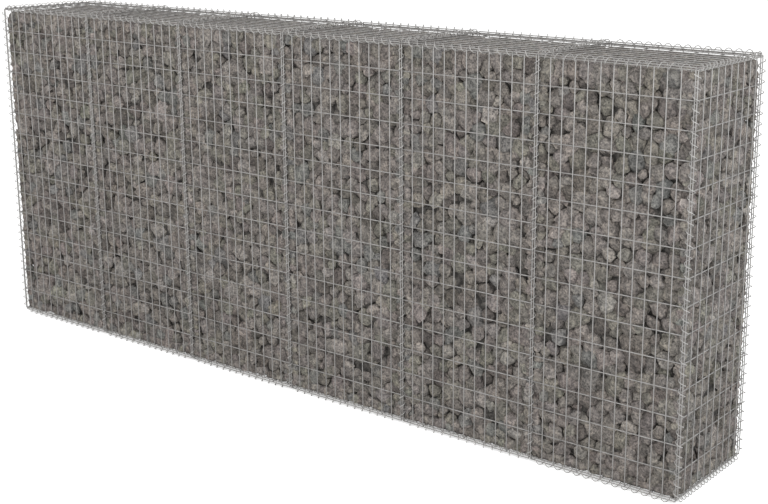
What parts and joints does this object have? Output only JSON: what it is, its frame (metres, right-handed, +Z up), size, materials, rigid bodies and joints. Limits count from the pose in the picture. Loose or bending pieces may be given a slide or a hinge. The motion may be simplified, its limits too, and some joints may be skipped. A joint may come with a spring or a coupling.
{
  "type": "gabion wall",
  "caption": "Straight gabion wall: a row of stone-filled cages of welded wire mesh, laced along every edge and seam with spiral binders.",
  "frame": {"origin": "on the ground, under the middle of the wall", "axes": "+X along the wall, -Y out of the front face, +Z up"},
  "size_m": [3.6908, 0.5322, 1.5421],
  "materials": {
    "mesh_wire": "dull zinc-coated round wire",
    "spiral_wire": "zinc-coated spring wire, a little brighter than the mesh",
    "stone_fill": "rough broken rock, grey-brown with olive and blue-grey stones"
  },
  "bodies": {
    "root": {"front_panel_1": "mesh_wire", "back_panel_1": "mesh_wire", "lid_1": "mesh_wire", "base_1": "mesh_wire", "stone_fill_1": "stone_fill", "front_panel_2": "mesh_wire", "back_panel_2": "mesh_wire", "lid_2": "mesh_wire", "base_2": "mesh_wire", "stone_fill_2": "stone_fill", "front_panel_3": "mesh_wire", "back_panel_3": "mesh_wire", "lid_3": "mesh_wire", "base_3": "mesh_wire", "stone_fill_3": "stone_fill", "front_panel_4": "mesh_wire", "back_panel_4": "mesh_wire", "lid_4": "mesh_wire", "base_4": "mesh_wire", "stone_fill_4": "stone_fill", "front_panel_5": "mesh_wire", "back_panel_5": "mesh_wire", "lid_5": "mesh_wire", "base_5": "mesh_wire", "stone_fill_5": "stone_fill", "front_panel_6": "mesh_wire", "back_panel_6": "mesh_wire", "lid_6": "mesh_wire", "base_6": "mesh_wire", "stone_fill_6": "stone_fill", "end_panel_left": "mesh_wire", "end_panel_right": "mesh_wire", "corner_spirals_front": "spiral_wire", "corner_spirals_back": "spiral_wire", "lid_spirals_front": "spiral_wire", "lid_spirals_back": "spiral_wire", "lid_spirals_cross": "spiral_wire", "base_spirals_front": "spiral_wire", "base_spirals_back": "spiral_wire", "base_spirals_cross": "spiral_wire"}
  },
  "joints": []
}
